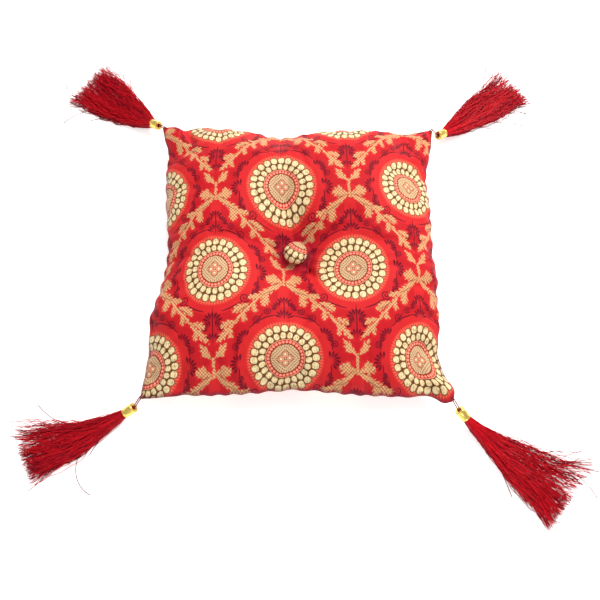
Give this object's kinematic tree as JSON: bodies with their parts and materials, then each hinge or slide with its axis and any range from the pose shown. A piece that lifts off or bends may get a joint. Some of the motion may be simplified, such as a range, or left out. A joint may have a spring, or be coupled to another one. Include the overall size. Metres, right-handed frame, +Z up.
{
  "type": "tufted brocade cushion with corner tassels",
  "caption": "Small square stuffed brocade cushion lying on its back, with a covered button tufted into its face and a tassel at each corner.",
  "frame": {"origin": "centre of the flat underside, on the surface that the cushion lies on", "axes": "+Z up from the surface through the tufted face, +X to the right edge, +Y to the back edge of the picture's view"},
  "size_m": [0.3283, 0.2985, 0.0401],
  "materials": {
    "brocade": "red woven brocade with a gold pattern, softly satin",
    "brass": "bright polished brass",
    "thread": "twisted red thread",
    "yarn": "silky crimson yarn"
  },
  "bodies": {
    "root": {"cushion": "brocade", "button": "brocade", "ferrule_back_left": "brass", "ferrule_back_right": "brass", "ferrule_front_right": "brass", "ferrule_front_left": "brass", "loop_back_left": "thread", "loop_back_right": "thread", "loop_front_right": "thread", "loop_front_left": "thread", "yarn_back_left": "yarn", "yarn_back_right": "yarn", "yarn_front_right": "yarn", "yarn_front_left": "yarn"}
  },
  "joints": []
}
